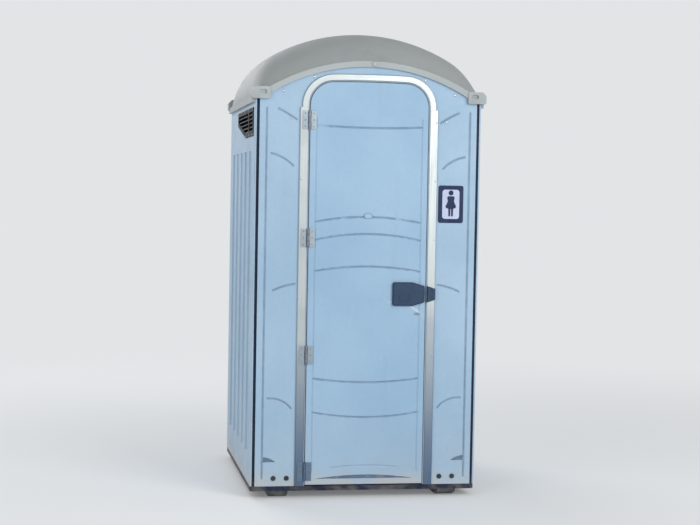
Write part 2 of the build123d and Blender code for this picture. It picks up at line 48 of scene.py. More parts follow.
# Faces and lines of the solids that marks and small pieces keep to. The door's boss is foremost.
FRONT = (0, -1, 0)
BOSS_PROUD = 0.002
HINGE_THICKNESS = 0.003
PANEL_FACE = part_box("front_panel_right")[0][1]
DOOR_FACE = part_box("door_leaf")[0][1] + BOSS_PROUD
HINGE_FACE = DOOR_FACE - HINGE_THICKNESS
HINGE_LINE = -0.2965
HINGE_NUMBERS = range(1, 5)

# Door surround: half its width, its top, its outer corners, its crown's rise and its strips' width
SURROUND_HALF = 0.332
SURROUND_TOP = 2.074
SURROUND_CORNER = 0.155
SURROUND_CROWN = 0.008
SURROUND_WIDTH = 0.032

# Seal round the doorway, its section as steps in from the doorway's edge and back from the panels
SEAL_FOOT = 0.061
SEAL_SECTION = (
    (0.0, 0.007), (0.0034, 0.007), (0.0044, 0.0045), (0.0044, -0.0025), (0.0030, -0.0055),
    (0.0, -0.0065),
)
CORNER_STEPS = 14
CROWN_STEPS = 6

# Sign beside the door, with its figure's parts as places across and up from the sign's middle
SIGN_MIDDLE = (0.414, 1.449)
SIGN_SIZE = (0.126, 0.184)
SIGN_BORDER = 0.020
SIGN_CORNER = 0.010
SIGN_THICKNESS = 0.003
SIGN_EDGE = 0.001
FIELD_CORNER = 0.014
FIELD_EDGE = 0.0003
PRINT_THICKNESS = 0.0006
FIGURE_EDGE = 0.0002
HEAD_RADIUS = 0.0125
HEAD_LEVEL = 0.056
HEAD_STEPS = 24
DRESS_SIDE = (
    (0.014, 0.040), (0.019, 0.033), (0.0175, 0.024), (0.0155, 0.015), (0.021, 0.002),
    (0.027, -0.011), (0.024, -0.018), (0.013, -0.022), (0.0, -0.023),
)
LEG = ((0.0014, -0.023), (0.0122, -0.022), (0.0112, -0.059), (0.0026, -0.060))

# Heads of rivets and screws, as radius and height, and the share of a head that its socket takes
STRIP_RIVET = (0.0045, 0.0022)
PANEL_RIVET = (0.006, 0.003)
SCREW = (0.0038, 0.0012)
TAB_SCREW = (0.005, 0.002)
SOCKET = 0.35
HEAD_SEGMENTS = 16

# Rivets up the surround's strips: longest pitch, and distances from the strip's edge, its ends
# and what is fixed over it
RIVET_PITCH = 0.29
RIVET_INSET = 0.008
RIVET_END = 0.06
HINGE_MARGIN = 0.01
STRIKE_MARGIN = 0.02

# Rivets on each front panel, as places out from the middle and up
PANEL_RIVETS = ((0.385, 1.851), (0.274, 2.055), (0.424, 1.984))

# Screws of the hinges and of the vents, whose places are shares of the vent's length
HINGE_SCREW_INSET = 0.013
HINGE_SCREW_PITCH = 0.032
VENT_SCREW_INSET = 0.006
VENT_TOP_SHARES = (0.01, 0.26, 0.5, 0.75, 0.99)
VENT_FOOT_SHARES = (0.01, 0.25, 0.46)

# Grip frame on the latch's plate, placed from the plate's left edge and middle level
GRIP_PLACE = (0.062, -0.016)
GRIP_SIZE = (0.054, 0.040)
GRIP_WALL = 0.006
GRIP_OUTER_CORNER = 0.007
GRIP_INNER_CORNER = 0.004
GRIP_PROUD = 0.0025

# Tab on the roof's front lip, and how far the lip stands in front of the panels
LIP_PROUD = 0.014
LIP_TAB_MIDDLE = (0.020, 2.124)
LIP_TAB_SIZE = (0.026, 0.022)
LIP_TAB_CORNER = 0.004
LIP_TAB_THICKNESS = 0.0035
LIP_TAB_EDGE = 0.001

# Painted shade in pressed lines: the depths behind a face where it comes in and ends, the levels
# where it begins, and how far out from the middle it reaches
PRESSED_START = (0.0005, 0.0052)
PRESSED_END = (0.0065, 0.0075)
PRESSED_FOOT = (0.078, 0.084)
WALL_REACH = 0.545
DOOR_REACH = 0.276
REACH_FADE = 0.003

# Marks on the door, as places across and up: the oval boss with its ring of painted shade, the pale
# line of painted highlight and the dark dash. They end at a depth behind the door's face.
BOSS_LEVEL = 1.385
BOSS_HALF = (0.021, 0.013)
BOSS_RING = 1.05
HIGHLIGHT_LINE = ((0.080, 0.963), (0.211, 0.946), (0.289, 0.890))
HIGHLIGHT_START = (0.07, 0.16)
HIGHLIGHT_END = (0.86, 0.90)
DASH_MIDDLE = (0.254, 0.907)
MARK_DEPTH = (0.008, 0.014)

# Dirt in the hinges' barrels and painted shade beside their line: how far in front of their leaves and
# how far from their line it changes
BARREL_DIRT = (0.0015, 0.0003)
LINE_SHADE = (0.006, 0.012)

# Levels over which marks on the roof change, and the distance along Y where its lips begin
ROOF_STAIN = (2.04, 2.26)
ROOF_RIM = (1.93, 2.02)
ROOF_DOME = (1.95, 2.02)
ROOF_LIP = (0.602, 0.611)

# Surround's levels of painted reflection of dark ground, their lift on the latch's side, and the scales
# of its grain
REFLECTION_START = (0.70, 0.82)
REFLECTION_FOOT = (0.02, 0.86)
LATCH_SIDE_LIFT = 0.17
GRAIN_ACROSS = 260
GRAIN_ALONG = 5

# Camera, stage and light, with each lamp's place, size, power and colour
CAMERA_PLACE = (-1.379, -8.095, 1.489)
CAMERA_TARGET = (0.0, -0.12, 1.135)
CAMERA_ROLL = math.radians(1.0)
CAMERA_LENS = 80
FLOOR_RADIUS = 40
FLOOR_STEPS = 96
FLOOR_FADE = (1.2, 6.5)
SKY_COLOUR = (0.93, 0.97, 1.0, 1)
SKY_STRENGTH = 0.42
LAMP_TARGET = (0, 0, 1.1)
LAMPS = (
    ("key_lamp", (3.4, -6.2, 3.6), 4.0, 270, (1.0, 0.99, 0.97)),
    ("fill_lamp", (-4.6, -5.0, 2.6), 3.5, 80, (0.97, 0.98, 1.0)),
    ("rear_lamp", (-3.2, 7.5, 5.2), 5.0, 300, (1.0, 1.0, 1.0)),
)


def srgb(red, green, blue):
    """Linear colour, with alpha, from the three 0 to 255 values a picture shows."""
    linear = []
    for value in (red, green, blue):
        share = value / 255
        if share <= 0.04045:
            linear.append(share / 12.92)
        else:
            linear.append(((share + 0.055) / 1.055) ** 2.4)
    return (linear[0], linear[1], linear[2], 1)


# Colours of wear and dirt, of painted shade, highlight and reflection, and of the stage
GREY_BLOOM = srgb(140, 150, 156)
RUN_MARK = srgb(122, 130, 132)
SCRATCH = srgb(222, 230, 234)
DUST = srgb(196, 184, 166)
# Painted shade for the pressed lines and for the ring round the door's boss
PAINTED_SHADE = srgb(74, 98, 124)
WORN_PLASTIC = srgb(214, 224, 230)
# Painted highlight for the pale line below the latch
HIGHLIGHT_PALE = srgb(216, 226, 230)
DASH_DARK = srgb(104, 124, 142)
LEAF_STAIN = srgb(124, 118, 106)
RIM_GRIME = srgb(108, 106, 98)
# Painted shade that darkens the roof's dome
DOME_SHADE = srgb(136, 136, 132)
WORN_DARK = srgb(112, 124, 136)
DARK_DUST = srgb(150, 142, 128)
WORN_METAL = srgb(214, 218, 218)
# Painted reflection of dark ground, low on the surround and the hinges
GROUND_REFLECTION = srgb(78, 102, 132)
# Dirt in the hinges' barrels, with painted shade beside their line
HINGE_DIRT_AND_SHADE = srgb(70, 72, 78)
DECK_DIRT = srgb(92, 86, 76)
FLOOR_COLOUR = srgb(242, 243, 244)
BACKGROUND = srgb(226, 228, 230)


class Surface:
    """A material under construction: its node tree, its shader and its object coordinates."""

    def __init__(self, name):
        self.material = bpy.data.materials.new(name)
        self.material.use_nodes = True
        self.tree = self.material.node_tree
        self.shader = self.tree.nodes["Principled BSDF"]
        self.place = self.add("TexCoord").outputs["Object"]
        axes = self.add("SeparateXYZ", {"Vector": self.place}).outputs
        self.x, self.y, self.z = axes[0], axes[1], axes[2]

    def add(self, kind, inputs=None, **settings):
        """Add a node, set its options, and link or set its inputs."""
        made = self.tree.nodes.new("ShaderNode" + kind)
        for key, value in settings.items():
            setattr(made, key, value)
        for key, value in (inputs or {}).items():
            self.feed(made.inputs[key], value)
        return made

    def feed(self, socket, value):
        """Link a node's output to a socket, or set the socket's own value."""
        if isinstance(value, bpy.types.NodeSocket):
            self.tree.links.new(value, socket)
        else:
            socket.default_value = value

    def noise(self, scale, detail=3, stretch=None, roughness=0.5):
        """Noise over the object, with its coordinates stretched first if asked."""
        place = self.place
        if stretch:
            mapping = self.add("Mapping", {"Vector": place, "Scale": stretch})
            place = mapping.outputs[0]
        made = self.add(
            "TexNoise", {"Vector": place, "Scale": scale, "Detail": detail, "Roughness": roughness}
        )
        return made.outputs[0]

    def remap(self, value, low, high, start=0.0, end=1.0):
        """Smooth step from start to end as a value goes from low to high."""
        made = self.add(
            "MapRange",
            {"Value": value, "From Min": low, "From Max": high, "To Min": start, "To Max": end},
            interpolation_type="SMOOTHSTEP",
        )
        return made.outputs[0]

    def maths(self, operation, first, second=0.0):
        """One arithmetic node."""
        made = self.add("Math", {0: first, 1: second}, operation=operation)
        return made.outputs[0]

    def times(self, *values):
        """Product of two or more values."""
        product = values[0]
        for value in values[1:]:
            product = self.maths("MULTIPLY", product, value)
        return product

    def away(self, value, middle=0.0):
        """How far a value is from a middle value, either way."""
        return self.maths("ABSOLUTE", self.maths("SUBTRACT", value, middle))

    def length(self, across, upward):
        """Length of a straight line that goes so far across and so far up."""
        squares = self.maths("ADD", self.maths("POWER", across, 2), self.maths("POWER", upward, 2))
        return self.maths("SQRT", squares)

    def mix(self, share, first, second):
        """Mix two colours."""
        made = self.add("Mix", {0: share, 6: first, 7: second}, data_type="RGBA")
        return made.outputs[2]

    def edges(self, radius):
        """Mask of sharp edges: where the rounded normal leaves the surface's own normal."""
        rounded = self.add("Bevel", {"Radius": radius}, samples=4).outputs[0]
        plain = self.add("NewGeometry").outputs["Normal"]
        match = self.add("VectorMath", {0: rounded, 1: plain}, operation="DOT_PRODUCT").outputs[1]
        return self.remap(match, 0.80, 0.995, 1.0, 0.0)

    def relief(self, layers, edge=0.0):
        """Stack bump layers, given as height, distance and strength, over rounded edges."""
        normal = None
        if edge:
            normal = self.add("Bevel", {"Radius": edge}, samples=6).outputs[0]
        for height, distance, strength in layers:
            inputs = {"Height": height, "Distance": distance, "Strength": strength}
            if normal:
                inputs["Normal"] = normal
            normal = self.add("Bump", inputs).outputs[0]
        self.tree.links.new(normal, self.shader.inputs["Normal"])

    def finish(self, colour, roughness, metallic=0.0, specular=0.5):
        """Set the shader's main inputs."""
        self.feed(self.shader.inputs["Base Color"], colour)
        self.feed(self.shader.inputs["Roughness"], roughness)
        self.shader.inputs["Metallic"].default_value = metallic
        self.shader.inputs["Specular IOR Level"].default_value = specular
        return self.material


def mottled_colour(s, colour, tint):
    """Cloudy plastic colour with a grey bloom, faint runs and hairline scratches."""
    base = s.mix(s.remap(s.noise(1.7, 4), 0.35, 0.68), colour, tint)
    base = s.mix(s.remap(s.noise(55, 2), 0.35, 0.7, 0.0, 0.08), base, GREY_BLOOM)
    runs = s.noise(1.0, 3, stretch=(15, 15, 0.7))
    base = s.mix(s.remap(runs, 0.54, 0.76, 0.0, 0.10), base, RUN_MARK)
    hair = s.away(s.noise(5.5, 5, stretch=(1, 1, 0.5)), 0.5)
    hair = s.times(s.remap(hair, 0.0, 0.004, 1.0, 0.0), s.remap(s.noise(2.3), 0.54, 0.7, 0.0, 0.22))
    return s.mix(hair, base, SCRATCH)


def dust_mask(s):
    """Patchy dust on the lowest half metre, thickest at the foot."""
    low = s.maths("ADD", s.remap(s.z, 0.07, 0.15, 0.42, 0.0), s.remap(s.z, 0.07, 0.50, 0.16, 0.0))
    return s.times(low, s.remap(s.noise(9, 5), 0.28, 0.72, 0.4, 1.0))


def pressed_mask(s, face, reach):
    """Painted shade on what lies a few millimetres behind a front face, out to a distance from the
    middle.
    """
    depth = s.maths("SUBTRACT", s.y, face)
    return s.times(
        s.remap(depth, *PRESSED_START, 0.0, 0.92),
        s.remap(depth, *PRESSED_END, 1.0, 0.0),
        s.remap(s.away(s.x), reach, reach + REACH_FADE, 1.0, 0.0),
        s.remap(s.z, *PRESSED_FOOT),
        s.remap(s.noise(24, 3), 0.3, 0.6, 0.75, 1.0),
    )


def moulded_plastic(
    name, colour, tint, face=None, reach=WALL_REACH, dusty=True, rough=(0.38, 0.54), wave=0.16
):
    """Weathered moulded plastic, unfinished: its surface, colour and roughness.

    Painted shade sits in what is pressed into a front face, given by its place along Y.
    """
    s = Surface(name)
    base = mottled_colour(s, colour, tint)
    if dusty:
        base = s.mix(dust_mask(s), base, DUST)
    # Painted shade darkens what is pressed into the front face
    if face is not None:
        base = s.mix(pressed_mask(s, face, reach), base, PAINTED_SHADE)
    worn = s.times(s.edges(0.004), s.remap(s.noise(38, 4), 0.42, 0.62, 0.0, 0.55))
    base = s.mix(worn, base, WORN_PLASTIC)
    s.relief(((s.noise(4.2, 2), 0.004, wave), (s.noise(420, 2), 0.0006, 0.12)), edge=0.002)
    return s, base, s.remap(s.noise(11, 4), 0.3, 0.7, *rough)


def wall_plastic(name, colour, tint):
    """The walls' plastic, with painted shade in what is pressed into the front panels."""
    s, base, wear = moulded_plastic(name, colour, tint, face=PANEL_FACE)
    return s.finish(base, wear)


def circle_through(first, middle, last):
    """Centre and radius of the circle through three points."""
    (ax, ay), (bx, by), (cx, cy) = first, middle, last
    scale = 2 * (ax * (by - cy) + bx * (cy - ay) + cx * (ay - by))
    a2, b2, c2 = ax * ax + ay * ay, bx * bx + by * by, cx * cx + cy * cy
    x = (a2 * (by - cy) + b2 * (cy - ay) + c2 * (ay - by)) / scale
    y = (a2 * (cx - bx) + b2 * (ax - cx) + c2 * (bx - ax)) / scale
    return x, y, math.hypot(ax - x, ay - y)


def rub_mask(s):
    """Painted highlight below the latch: a pale line on an arc through its two ends and middle."""
    centre_x, centre_z, radius = circle_through(*HIGHLIGHT_LINE)
    reach = s.length(s.maths("SUBTRACT", s.x, centre_x), s.maths("SUBTRACT", s.z, centre_z))
    return s.times(
        s.remap(s.away(reach, radius), 0.001, 0.010, 1.0, 0.0),
        s.remap(s.x, *HIGHLIGHT_START),
        s.remap(s.z, *HIGHLIGHT_END),
        s.remap(s.noise(30), 0.35, 0.65, 0.10, 0.50),
    )


def scuff_mask(s):
    """Dark dash below the latch."""
    return s.times(
        s.remap(s.away(s.x, DASH_MIDDLE[0]), 0.006, 0.026, 1.0, 0.0),
        s.remap(s.away(s.z, DASH_MIDDLE[1]), 0.003, 0.011, 1.0, 0.0),
        s.remap(s.noise(60), 0.3, 0.6, 0.4, 0.85),
    )


def boss_ring_mask(s):
    """Ring of painted shade round the oval boss."""
    across = s.maths("DIVIDE", s.x, BOSS_HALF[0])
    upward = s.maths("DIVIDE", s.maths("SUBTRACT", s.z, BOSS_LEVEL), BOSS_HALF[1])
    ring = s.away(s.length(across, upward), BOSS_RING)
    return s.times(
        s.remap(ring, 0.04, 0.20, 0.60, 0.0), s.remap(s.noise(70, 3), 0.3, 0.6, 0.6, 1.0)
    )


def door_plastic(name, colour, tint):
    """The door's plastic, with its marks on the outer face only."""
    s, base, wear = moulded_plastic(name, colour, tint, face=DOOR_FACE, reach=DOOR_REACH)
    outside = s.remap(s.maths("SUBTRACT", s.y, DOOR_FACE), *MARK_DEPTH, 1.0, 0.0)
    # Painted highlight: a pale line below the latch, on the outer face only
    base = s.mix(s.times(rub_mask(s), outside), base, HIGHLIGHT_PALE)
    base = s.mix(s.times(scuff_mask(s), outside), base, DASH_DARK)
    # Painted shade in a ring round the oval boss
    base = s.mix(s.times(boss_ring_mask(s), outside), base, PAINTED_SHADE)
    return s.finish(base, wear)


def roof_plastic(name, colour, tint):
    """The roof's plastic: leaf stains on top, grime at the rim, and painted shade that makes the dome
    darker than its lips.
    """
    s, base, wear = moulded_plastic(name, colour, tint, dusty=False, rough=(0.58, 0.66), wave=0.02)
    stain = s.remap(s.noise(6, 6, roughness=0.65), 0.54, 0.70, 0.0, 0.34)
    stain = s.times(stain, s.remap(s.z, *ROOF_STAIN, 0.15, 1.0))
    base = s.mix(stain, base, LEAF_STAIN)
    grime = s.times(s.remap(s.z, *ROOF_RIM, 0.22, 0.0), s.remap(s.noise(14), 0.3, 0.65))
    base = s.mix(grime, base, RIM_GRIME)
    # Painted shade: the dome darker than its lips
    dome = s.times(s.remap(s.away(s.y), *ROOF_LIP, 0.42, 0.0), s.remap(s.z, *ROOF_DOME))
    base = s.mix(dome, base, DOME_SHADE)
    return s.finish(base, wear, specular=0.32)


def dark_plastic(name, colour, dusting, rough=(0.40, 0.56), specular=0.5):
    """Dark moulded plastic with fine grain, pale scratches, worn edges and a little dust."""
    s = Surface(name)
    base = s.mix(s.remap(s.noise(3, 3), 0.35, 0.7, 0.0, 0.5), colour, dusting)
    base = s.mix(s.remap(s.noise(90, 3), 0.62, 0.75, 0.0, 0.4), base, dusting)
    hair = s.away(s.noise(13, 5, stretch=(1, 1, 2.6)), 0.5)
    base = s.mix(s.remap(hair, 0.0, 0.005, 0.3, 0.0), base, dusting)
    worn = s.times(s.edges(0.002), s.remap(s.noise(45, 4), 0.4, 0.62, 0.0, 0.5))
    base = s.mix(worn, base, WORN_DARK)
    low = s.times(s.remap(s.z, 0.0, 0.12, 0.45, 0.0), s.remap(s.noise(16, 4), 0.35, 0.65))
    base = s.mix(low, base, DARK_DUST)
    s.relief(((s.noise(600, 2), 0.0005, 0.25),), edge=0.0015)
    return s.finish(base, s.remap(s.noise(25), 0.3, 0.7, *rough), specular=specular)


def grained_metal(s, lines, colour, tarnish):
    """Metal colour with darker grain lines and cloudy tarnish."""
    base = s.mix(s.remap(lines, 0.3, 0.7, 0.0, 0.35), colour, tarnish)
    return s.mix(s.remap(s.noise(6, 5), 0.5, 0.75, 0.0, 0.45), base, tarnish)


def finish_metal(s, base, lines, rough=(0.34, 0.50)):
    """Finish a metal whose grain lines make its relief and its roughness."""
    s.relief(((lines, 0.0004, 0.25),), edge=0.0012)
    return s.finish(base, s.remap(lines, 0.3, 0.7, *rough), metallic=1.0)


def rivet_steel(name, colour, tarnish):
    """Bare metal of small heads, with the same fine grain all ways."""
    s = Surface(name)
    lines = s.noise(1.0, 3, stretch=(300, 300, 300))
    return finish_metal(s, grained_metal(s, lines, colour, tarnish), lines)


def surround_grain(s):
    """Grain lines that run up the surround's strips and round its arch."""
    out = s.away(s.x)
    side = s.maths("MAXIMUM", s.maths("SUBTRACT", out, SURROUND_HALF - SURROUND_CORNER), 0.0)
    drop = s.times(s.maths("POWER", out, 2), SURROUND_CROWN / SURROUND_HALF ** 2)
    rise = s.maths("SUBTRACT", s.maths("ADD", s.z, drop), SURROUND_TOP - SURROUND_CORNER)
    across = s.times(s.length(side, s.maths("MAXIMUM", rise, 0.0)), GRAIN_ACROSS)
    along = s.times(s.maths("ADD", out, s.z), GRAIN_ALONG)
    run = s.add("CombineXYZ", {0: across, 1: s.times(s.y, GRAIN_ACROSS), 2: along}).outputs[0]
    return s.add("TexNoise", {"Vector": run, "Scale": 1.0, "Detail": 3}).outputs[0]


def surround_metal(name, colour, tarnish):
    """Drawn aluminium of the door's surround, with a painted reflection of dark ground low down."""
    s = Surface(name)
    lines = surround_grain(s)
    base = grained_metal(s, lines, colour, tarnish)
    worn = s.times(s.edges(0.002), s.remap(s.noise(45, 4), 0.42, 0.62, 0.0, 0.5))
    base = s.mix(worn, base, WORN_METAL)
    # The painted reflection of dark ground begins at the second hinge from the foot, and higher on the
    # latch's side
    lift = s.times(s.maths("GREATER_THAN", s.x, 0.0), LATCH_SIDE_LIFT)
    level = s.maths("ADD", s.maths("SUBTRACT", s.z, lift), s.times(s.noise(9, 3), 0.05))
    start = s.remap(level, *REFLECTION_START, 0.28, 0.0)
    reflection_dark = s.maths("ADD", start, s.remap(s.z, *REFLECTION_FOOT, 0.62, 0.0))
    base = s.mix(reflection_dark, base, GROUND_REFLECTION)
    return finish_metal(s, base, lines)


def hinge_metal(name, colour, tarnish):
    """Plated hinge metal, dirty in its barrel, with painted shade beside its line, and with a painted
    reflection of dark ground low down.
    """
    s = Surface(name)
    lines = s.noise(1.0, 3, stretch=(60, 60, 420))
    base = grained_metal(s, lines, colour, tarnish)
    barrel_low, barrel_high = HINGE_FACE - BARREL_DIRT[0], HINGE_FACE - BARREL_DIRT[1]
    barrel = s.remap(s.y, barrel_low, barrel_high, 0.62, 0.0)
    # Painted shade beside the hinge line, where the gap between the door and the strip runs
    beside = s.remap(s.away(s.x, HINGE_LINE), *LINE_SHADE, 0.55, 0.0)
    dirt = s.times(s.maths("MAXIMUM", barrel, beside), s.remap(s.noise(70, 3), 0.3, 0.6, 0.6, 1.0))
    base = s.mix(dirt, base, HINGE_DIRT_AND_SHADE)
    # Painted reflection of dark ground: darker low down
    base = s.mix(s.remap(s.z, 0.10, 0.90, 0.70, 0.0), base, GROUND_REFLECTION)
    return finish_metal(s, base, lines, rough=(0.36, 0.54))


def deck_plastic(name, colour, stud_colour):
    """The cabin's floor with moulded studs and ground-in dirt."""
    s = Surface(name)
    studs = s.add("TexVoronoi", {"Vector": s.place, "Scale": 42, "Randomness": 0.0}).outputs[0]
    stud = s.remap(studs, 0.22, 0.34, 1.0, 0.0)
    base = s.mix(stud, colour, stud_colour)
    base = s.mix(s.remap(s.noise(5, 6), 0.42, 0.68, 0.0, 0.6), base, DECK_DIRT)
    s.relief(((stud, 0.0012, 0.7),))
    return s.finish(base, s.remap(s.noise(12), 0.3, 0.7, 0.5, 0.75))


def faded_surface(name, colour, pale):
    """Printed or rubber surface, slightly faded and finely textured."""
    s = Surface(name)
    base = s.mix(s.remap(s.noise(22, 4), 0.35, 0.7, 0.0, 0.5), colour, pale)
    base = s.mix(s.remap(s.noise(260, 2), 0.6, 0.72, 0.0, 0.3), base, pale)
    s.relief(((s.noise(700, 2), 0.0002, 0.2),))
    return s.finish(base, s.remap(s.noise(18), 0.3, 0.7, 0.40, 0.52), specular=0.25)


materials = {
    "wall_plastic": wall_plastic("wall_plastic", srgb(160, 188, 211), srgb(149, 179, 204)),
    "door_plastic": door_plastic("door_plastic", srgb(153, 184, 210), srgb(142, 175, 203)),
    "roof_plastic": roof_plastic("roof_plastic", srgb(176, 182, 184), srgb(164, 170, 171)),
    "navy_plastic": dark_plastic(
        "navy_plastic", srgb(18, 28, 51), srgb(38, 50, 76), rough=(0.48, 0.62), specular=0.25
    ),
    "vent_plastic": dark_plastic(
        "vent_plastic", srgb(24, 29, 36), srgb(36, 42, 50), rough=(0.62, 0.80), specular=0.22
    ),
    "skid_plastic": dark_plastic("skid_plastic", srgb(28, 36, 46), srgb(66, 70, 72)),
    "floor_plastic": deck_plastic("floor_plastic", srgb(96, 104, 112), srgb(134, 140, 146)),
    "trim_aluminium": surround_metal("trim_aluminium", srgb(186, 193, 194), srgb(160, 168, 172)),
    "latch_plastic": dark_plastic(
        "latch_plastic", srgb(31, 56, 83), srgb(48, 74, 101), specular=0.38
    ),
    "hinge_steel": hinge_metal("hinge_steel", srgb(160, 172, 180), srgb(134, 146, 154)),
    "bolt_steel": dark_plastic("bolt_steel", srgb(20, 27, 36), srgb(44, 52, 60), rough=(0.32, 0.48)),
}
sign_navy = faded_surface("sign_navy", srgb(22, 38, 74), srgb(36, 54, 92))
sign_pale = faded_surface("sign_pale", srgb(190, 198, 222), srgb(176, 186, 212))
seal_rubber = faded_surface("seal_rubber", srgb(168, 178, 186), srgb(146, 156, 164))
rivet_metal = rivet_steel("rivet_metal", srgb(200, 204, 204), srgb(150, 154, 152))

for entry in frame["record"]["subparts"]:
    slots = nodes[entry["node"]].material_slots
    for index in range(len(slots)):
        slots[index].material = materials[entry["material_slot"]]


def new_object(name, data):
    """An object in the scene that holds a mesh, a lamp or a camera."""
    made = bpy.data.objects.new(name, data)
    bpy.context.scene.collection.objects.link(made)
    return made


def add_piece(name, points, faces, material, body, smooth=False):
    """Make a mesh piece that rides on a body and takes its finish from a material slot."""
    mesh = bpy.data.meshes.new(name)
    mesh.from_pydata(points, [], faces)
    mesh.validate()
    mesh.update()
    mesh.materials.append(material)
    for polygon in mesh.polygons:
        polygon.use_smooth = smooth
    piece = new_object(name, mesh)
    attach(piece, body)


def arc(middle, radius, start, end, steps):
    """Points along an arc about a middle, from a start angle to an end angle, both included."""
    points = []
    for step in range(steps + 1):
        angle = start + (end - start) * step / steps
        points.append((middle[0] + radius * math.cos(angle), middle[1] + radius * math.sin(angle)))
    return points


def rounded_outline(middle, size, corner, steps=6):
    """Points of a rounded rectangle on a front face, seen from the front."""
    points = []
    half_x, half_z = size[0] / 2 - corner, size[1] / 2 - corner
    for turn, (side_x, side_z) in enumerate(((1, 1), (-1, 1), (-1, -1), (1, -1))):
        centre = (middle[0] + side_x * half_x, middle[1] + side_z * half_z)
        points += arc(centre, corner, math.pi / 2 * turn, math.pi / 2 * (turn + 1), steps)
    return points


def bridge(first, second, count):
    """Faces between two closed rings of points, given by the index of each ring's first point."""
    faces = []
    for i in range(count):
        j = (i + 1) % count
        faces.append((first + i, first + j, second + j, second + i))
    return faces


def front_slab(name, outline, face_y, thickness, edge, material, body):
    """A slab on a front face: a closed outline, thickened towards -Y, with a bevelled rim."""
    count = len(outline)
    middle_x = sum(x for x, z in outline) / count
    middle_z = sum(z for x, z in outline) / count
    reach = max(math.hypot(x - middle_x, z - middle_z) for x, z in outline)
    points = []
    for depth, scale in ((0, 1), (thickness - edge, 1), (thickness, 1 - edge / reach)):
        for x, z in outline:
            points.append((
                middle_x + (x - middle_x) * scale, face_y - depth, middle_z + (z - middle_z) * scale
            ))
    faces = [tuple(reversed(range(count))), tuple(range(2 * count, 3 * count))]
    faces += bridge(0, count, count) + bridge(count, 2 * count, count)
    add_piece(name, points, faces, material, body)


def domed_heads(name, places, facing, size, material, body, socket=0.0):
    """Domed fastener heads in one mesh, all facing one way, with a socket in each if asked."""
    radius, height = size
    profile = [(1.0, 0.0), (1.0, 0.35), (0.82, 0.75), (0.5, 0.96)]
    if socket:
        profile += [(socket, 1.0), (socket * 0.8, 0.45)]
    turn = Vector((0, 0, 1)).rotation_difference(Vector(facing)).to_matrix().to_4x4()
    points = []
    faces = []
    for place in places:
        move = Matrix.Translation(Vector(place)) @ turn
        start = len(points)
        for share, level in profile:
            for x, y in arc((0, 0), radius * share, 0, 2 * math.pi, HEAD_SEGMENTS)[:-1]:
                points.append(tuple(move @ Vector((x, y, height * level))))
        last = len(points) - HEAD_SEGMENTS
        for ring in range(start, last, HEAD_SEGMENTS):
            faces += bridge(ring, ring + HEAD_SEGMENTS, HEAD_SEGMENTS)
        faces.append(tuple(range(last, last + HEAD_SEGMENTS)))
        faces.append(tuple(reversed(range(start, start + HEAD_SEGMENTS))))
    add_piece(name, points, faces, material, body, smooth=True)


def figure_part(name, outline):
    """One printed part of the sign's figure, placed from the middle of the sign."""
    placed = [(SIGN_MIDDLE[0] + x, SIGN_MIDDLE[1] + z) for x, z in outline]
    print_face = PANEL_FACE - SIGN_THICKNESS - PRINT_THICKNESS
    front_slab(
        name, placed, print_face, PRINT_THICKNESS, FIGURE_EDGE, sign_navy, "cabin"
    )


def add_sign():
    """The sign: a navy border plate, a pale field and a plain standing figure in a dress."""
    front_slab(
        "sign_plate", rounded_outline(SIGN_MIDDLE, SIGN_SIZE, SIGN_CORNER), PANEL_FACE,
        SIGN_THICKNESS, SIGN_EDGE, sign_navy, "cabin",
    )
    field_size = (SIGN_SIZE[0] - 2 * SIGN_BORDER, SIGN_SIZE[1] - 2 * SIGN_BORDER)
    front_slab(
        "sign_field", rounded_outline(SIGN_MIDDLE, field_size, FIELD_CORNER),
        PANEL_FACE - SIGN_THICKNESS, PRINT_THICKNESS, FIELD_EDGE, sign_pale, "cabin",
    )
    head = arc((0, HEAD_LEVEL), HEAD_RADIUS, 0, 2 * math.pi, HEAD_STEPS)[:-1]
    figure_part("sign_figure_head", head)
    figure_part("sign_figure_dress", [(-x, z) for x, z in DRESS_SIDE] + list(DRESS_SIDE[-2::-1]))
    figure_part("sign_figure_leg_left", [(-x, z) for x, z in LEG])
    figure_part("sign_figure_leg_right", LEG[::-1])


def is_clear(level, boxes, margin):
    """Whether a level is clear of every box, by a margin above and below each."""
    for low, high in boxes:
        if low[2] - margin < level < high[2] + margin:
            return False
    return True


def add_rivets():
    """Rivets up both of the surround's strips, and on both front panels."""
    hinges = [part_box("hinge_frame_leaf_%d" % number) for number in HINGE_NUMBERS]
    strike = [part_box("strike_plate")]
    places = []
    for name, fixed, margin in (
        ("trim_left", hinges, HINGE_MARGIN), ("trim_right", strike, STRIKE_MARGIN)
    ):
        low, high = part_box(name)
        rivet_x = low[0] + RIVET_INSET if name == "trim_left" else high[0] - RIVET_INSET
        span = high[2] - low[2] - 2 * RIVET_END
        count = int(span / RIVET_PITCH) + 1
        for step in range(count + 1):
            level = low[2] + RIVET_END + span * step / count
            if is_clear(level, fixed, margin):
                places.append((rivet_x, low[1], level))
    domed_heads(
        "strip_rivets", places, FRONT, STRIP_RIVET, materials["trim_aluminium"],
        "cabin",
    )
    places = [(side * x, PANEL_FACE, z) for side in (-1, 1) for x, z in PANEL_RIVETS]
    domed_heads(
        "panel_rivets", places, FRONT, PANEL_RIVET, rivet_metal, "cabin"
    )


